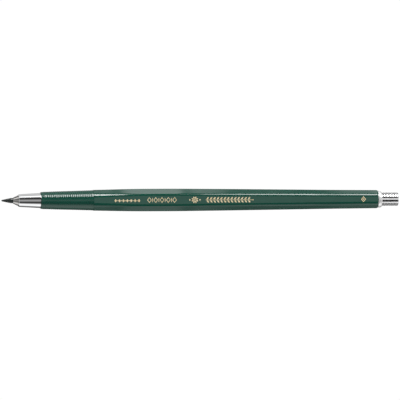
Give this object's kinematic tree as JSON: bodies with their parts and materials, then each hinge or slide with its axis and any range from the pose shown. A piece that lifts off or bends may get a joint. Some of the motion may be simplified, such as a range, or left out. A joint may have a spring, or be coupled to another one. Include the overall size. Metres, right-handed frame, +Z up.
{
  "type": "lead holder",
  "caption": "Push-button clutch lead holder for a 2 mm drawing lead: bulged hexagonal plastic barrel, round grip, chromed nose sleeve, three-jaw clutch and knurled button.",
  "frame": {"origin": "on the barrel axis, half way between the lead point and the end of the push button", "axes": "+X along the barrel axis towards the push button (the lead points to -X), +Z up out of one hexagon flat, the opposite flat faces down"},
  "size_m": [0.1524, 0.0086, 0.0078],
  "materials": {
    "barrel_plastic": "glossy moulded plastic, satin grip zone",
    "chrome": "bright chrome plate",
    "brass": "turned",
    "jaw_steel": "turned and nickelled",
    "tube_steel": "drawn tube",
    "spring_steel": "drawn wire",
    "dark_steel": "blackened",
    "bush_plastic": "acetal",
    "graphite": "fired graphite and clay core, ground point"
  },
  "bodies": {
    "barrel": {"barrel": "barrel_plastic", "front_bush": "brass", "nose_sleeve": "chrome", "front_washer": "dark_steel", "return_spring": "spring_steel", "rear_bush": "bush_plastic", "rear_ferrule": "chrome"},
    "spring_seat": {"spring_collar": "brass"},
    "clutch": {"collet_body": "jaw_steel", "tube_coupler": "brass", "lead_tube": "tube_steel", "retaining_ring": "dark_steel", "button_core": "brass", "push_button": "chrome"},
    "jaw_1": {"jaw_1": "jaw_steel"},
    "jaw_2": {"jaw_2": "jaw_steel"},
    "jaw_3": {"jaw_3": "jaw_steel"},
    "lead": {"lead": "graphite"}
  },
  "joints": [
    {"name": "button_press", "type": "slide", "parent": "barrel", "child": "spring_seat", "axis": [-1, 0, 0], "range_m": [0, 0.0035], "stiffness_N_per_m": 400, "springref_m": -0.005, "deforming": ["return_spring"]},
    {"name": "clutch_turn", "type": "hinge", "parent": "spring_seat", "child": "clutch", "pos_m": [-0.0345, 0, 0], "axis": [1, 0, 0], "continuous": true},
    {"name": "jaw_1_open", "type": "hinge", "parent": "clutch", "child": "jaw_1", "pos_m": [-0.05775, -0.00018, 0.00125], "axis": [0, 0.9903, 0.1392], "range_deg": [0, 2.05]},
    {"name": "jaw_2_open", "type": "hinge", "parent": "clutch", "child": "jaw_2", "pos_m": [-0.05775, 0.00117, -0.00047], "axis": [0, -0.3746, -0.9272], "range_deg": [0, 2.05]},
    {"name": "jaw_3_open", "type": "hinge", "parent": "clutch", "child": "jaw_3", "pos_m": [-0.05775, -0.00099, -0.00078], "axis": [0, -0.6157, 0.788], "range_deg": [0, 2.05]},
    {"name": "lead_feed", "type": "slide", "parent": "clutch", "child": "lead", "axis": [-1, 0, 0], "range_m": [-0.006, 0.118]}
  ],
  "couplings": [
    {"joint": "jaw_1_open", "follows": "button_press", "rad_per_m": 10},
    {"joint": "jaw_2_open", "follows": "button_press", "rad_per_m": 10},
    {"joint": "jaw_3_open", "follows": "button_press", "rad_per_m": 10}
  ]
}
